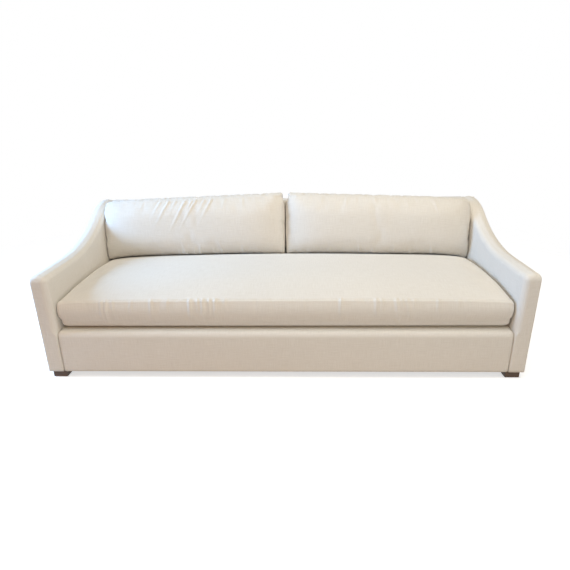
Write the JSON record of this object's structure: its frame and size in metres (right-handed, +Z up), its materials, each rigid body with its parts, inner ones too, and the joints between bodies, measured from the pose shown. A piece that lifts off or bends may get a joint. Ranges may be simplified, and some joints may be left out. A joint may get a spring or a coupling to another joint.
{
  "type": "slope arm sofa",
  "caption": "Long low slope arm sofa in oatmeal linen, with one bench seat cushion, loose back cushions and dark square block feet.",
  "frame": {"origin": "on the floor, under the middle of the sofa's outline", "axes": "+X to the right as seen from the front, +Y from front to back, +Z up"},
  "size_m": [2.74, 1.11, 0.893],
  "materials": {
    "oatmeal_linen": "plain weave, matt",
    "deck_lining": "plain cotton, matt",
    "dust_cloth": "non-woven, matt",
    "foam": "open cell, matt",
    "fibre_fill": "fibre in a ticking case, matt",
    "frame_wood": "sawn, unfinished",
    "hardboard": "pressed board, matt",
    "dark_wood": "dark stain, satin lacquer",
    "spring_steel": "drawn wire, oiled",
    "zinc_steel": "zinc plated",
    "webbing": "woven jute, matt",
    "zip_nylon": "nylon coil and woven tape",
    "slider_nickel": "nickel plated",
    "glide_plastic": "moulded nylon"
  },
  "bodies": {
    "frame": {"arm_cover_left": "oatmeal_linen", "arm_cover_right": "oatmeal_linen", "arm_front_post_left": "frame_wood", "arm_front_post_right": "frame_wood", "arm_inner_board_left": "hardboard", "arm_inner_board_right": "hardboard", "arm_pad_left": "foam", "arm_pad_right": "foam", "arm_tack_rail_left": "frame_wood", "arm_tack_rail_right": "frame_wood", "arm_top_rail_left": "frame_wood", "arm_top_rail_right": "frame_wood", "back_cover": "oatmeal_linen", "back_lower_rail": "frame_wood", "back_pad": "foam", "back_post_left": "frame_wood", "back_post_right": "frame_wood", "back_rail": "frame_wood", "back_top_rail": "frame_wood", "back_uprights": "frame_wood", "back_webbing": "webbing", "corner_blocks": "frame_wood", "corner_screws": "zinc_steel", "cross_rails": "frame_wood", "deck_cloth": "deck_lining", "deck_pad": "foam", "dust_cover": "dust_cloth", "foot_back_left": "dark_wood", "foot_back_right": "dark_wood", "foot_bolts": "zinc_steel", "foot_front_left": "dark_wood", "foot_front_right": "dark_wood", "foot_glides": "glide_plastic", "foot_tee_nuts": "zinc_steel", "frame_dowels": "frame_wood", "front_rail": "frame_wood", "front_rail_cover": "oatmeal_linen", "front_rail_pad": "foam", "outside_arm_panel_left": "oatmeal_linen", "outside_arm_panel_right": "oatmeal_linen", "outside_back_panel": "oatmeal_linen", "rear_seat_rail": "frame_wood", "seat_springs": "spring_steel", "side_rail_left": "frame_wood", "side_rail_right": "frame_wood", "spring_clips": "spring_steel", "spring_tie_wires": "spring_steel"},
    "seat_cushion": {"seat_cushion_cover": "oatmeal_linen", "seat_cushion_core": "foam", "seat_zipper": "zip_nylon"},
    "seat_zip_slider": {"seat_zip_slider": "slider_nickel"},
    "back_cushion_left": {"back_cushion_cover_left": "oatmeal_linen", "back_cushion_core_left": "fibre_fill", "back_zipper_left": "zip_nylon"},
    "back_zip_slider_left": {"back_zip_slider_left": "slider_nickel"},
    "back_cushion_right": {"back_cushion_cover_right": "oatmeal_linen", "back_cushion_core_right": "fibre_fill", "back_zipper_right": "zip_nylon"},
    "back_zip_slider_right": {"back_zip_slider_right": "slider_nickel"}
  },
  "joints": [
    {"name": "seat_cushion_pull", "type": "slide", "parent": "frame", "child": "seat_cushion", "axis": [0, -1, 0], "range_m": [0, 1]},
    {"name": "back_cushion_left_lift", "type": "slide", "parent": "frame", "child": "back_cushion_left", "axis": [0, 0.1564, 0.9877], "range_m": [0, 0.45]},
    {"name": "back_cushion_right_lift", "type": "slide", "parent": "frame", "child": "back_cushion_right", "axis": [0, 0.1564, 0.9877], "range_m": [0, 0.45]},
    {"name": "seat_zip", "type": "slide", "parent": "seat_cushion", "child": "seat_zip_slider", "axis": [-1, 0, 0], "range_m": [0, 2.28]},
    {"name": "back_zip_left", "type": "slide", "parent": "back_cushion_left", "child": "back_zip_slider_left", "axis": [1, 0.0015, 0.0095], "range_m": [0, 1]},
    {"name": "back_zip_right", "type": "slide", "parent": "back_cushion_right", "child": "back_zip_slider_right", "axis": [-1, 0.0015, 0.0095], "range_m": [0, 1]}
  ]
}
